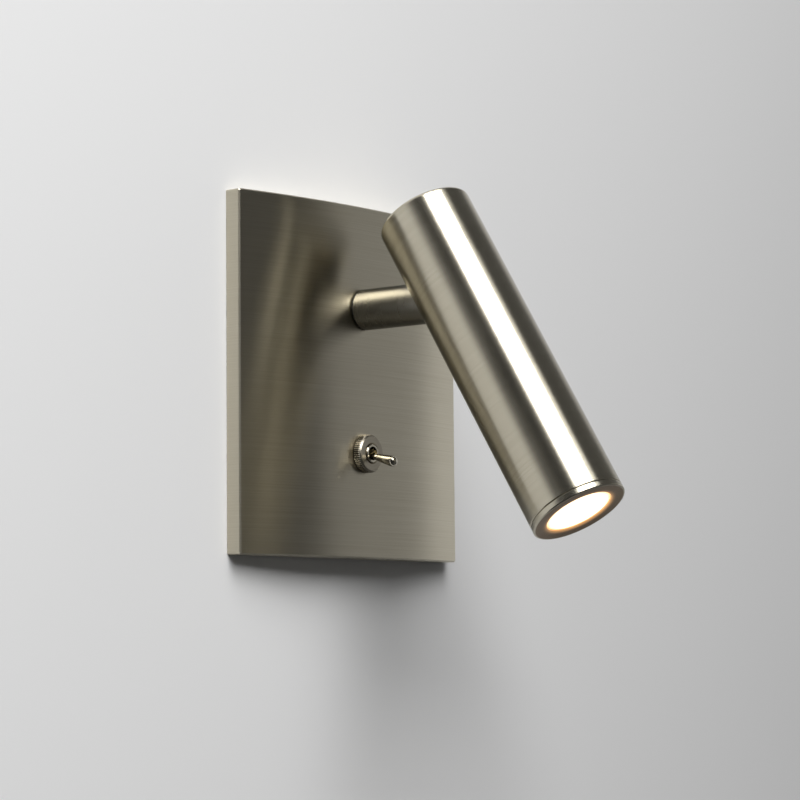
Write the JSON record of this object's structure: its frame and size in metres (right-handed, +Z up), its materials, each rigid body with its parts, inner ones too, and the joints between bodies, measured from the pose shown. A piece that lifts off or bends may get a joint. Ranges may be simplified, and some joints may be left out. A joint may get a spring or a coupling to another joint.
{
  "type": "wall reading lamp",
  "caption": "Wall reading lamp with a curved square back plate, a toggle switch, a short arm and a tilting spotlight tube.",
  "frame": {"origin": "the point midway between the strap's two wall screws, on the wall surface, which is also the middle of the plate's back", "axes": "+Z up the wall, +X to the right seen from the room, -Y out into the room; what lies at +Y sits in the recess behind the plate"},
  "size_m": [0.115, 0.137, 0.1222],
  "materials": {
    "plate_nickel": "satin nickel plate, fine horizontal brushing",
    "tube_nickel": "satin nickel plate, fine brushing round the tube",
    "arm_nickel": "satin nickel plate, fine brushing round the tube",
    "bright_nickel": "polished nickel plate",
    "zinc_steel": "zinc plated steel",
    "turned_brass": "turned brass",
    "tinned_copper": "tinned",
    "bare_aluminium": "machined",
    "black_nylon": "matt",
    "black_rubber": "matt",
    "switch_phenolic": "moulded",
    "white_plastic": "moulded",
    "circuit_green": "solder mask",
    "board_white": "white solder mask",
    "winding_yellow": "tape",
    "capacitor_sleeve": "shrunk sleeve",
    "pad_grey": "silicone",
    "chip_ceramic": "ceramic",
    "phosphor_yellow": "silicone",
    "reflector_chrome": "metallised plastic",
    "lens_glass": "clear, lit from behind",
    "lead_white": "insulated lead",
    "lead_black": "insulated lead"
  },
  "bodies": {
    "root": {"face_plate": "plate_nickel", "mounting_bracket": "zinc_steel", "plate_grub_screws": "zinc_steel", "earth_washer": "turned_brass", "earth_screw": "turned_brass", "lead_grommet": "black_rubber", "stop_peg": "zinc_steel", "knurled_nut": "bright_nickel", "toggle_bushing": "bright_nickel", "toggle_lock_washer": "zinc_steel", "toggle_rear_nut": "zinc_steel", "toggle_body": "switch_phenolic", "toggle_terminals": "tinned_copper", "arm_base_washer": "black_nylon", "stem_friction_washer": "black_nylon", "driver_case": "white_plastic", "driver_lid": "white_plastic", "driver_board": "circuit_green", "driver_transformer": "winding_yellow", "driver_capacitors": "capacitor_sleeve", "driver_connectors": "white_plastic", "driver_screws": "zinc_steel", "terminal_block": "white_plastic", "terminal_clamps": "turned_brass", "terminal_screws": "zinc_steel", "terminal_block_screw": "zinc_steel", "supply_leads": "lead_black", "switch_leads": "lead_black"},
    "lever": {"toggle_lever": "bright_nickel"},
    "arm": {"arm_tube": "arm_nickel", "arm_stem": "turned_brass", "stem_spring_washer": "zinc_steel", "stem_stop_washer": "zinc_steel", "stem_nut": "zinc_steel", "arm_knuckle": "turned_brass", "trunnion_washers": "black_nylon", "trunnion_screws": "zinc_steel", "arm_lead": "lead_white"},
    "head": {"head_tube": "tube_nickel", "head_cap": "tube_nickel", "bezel_ring": "tube_nickel", "lens": "lens_glass", "lens_gasket": "black_rubber", "reflector": "reflector_chrome", "head_yoke": "bare_aluminium", "yoke_screw": "zinc_steel", "heat_sink": "bare_aluminium", "thermal_pad": "pad_grey", "led_board": "board_white", "led_board_screws": "zinc_steel", "led_chip": "chip_ceramic", "led_phosphor": "phosphor_yellow", "head_lead": "lead_white"}
  },
  "joints": [
    {"name": "arm_swivel", "type": "hinge", "parent": "root", "child": "arm", "pos_m": [0, -0.0113, 0.0245], "axis": [0, -1, 0], "range_deg": [-160, 160]},
    {"name": "head_tilt", "type": "hinge", "parent": "arm", "child": "head", "pos_m": [0, -0.0556, 0.0245], "axis": [-1, 0, 0], "range_deg": [-31, 19]},
    {"name": "switch_lever", "type": "hinge", "parent": "root", "child": "lever", "pos_m": [0, -0.01125, -0.0247], "axis": [-1, 0, 0], "range_deg": [0, 29.2]}
  ]
}
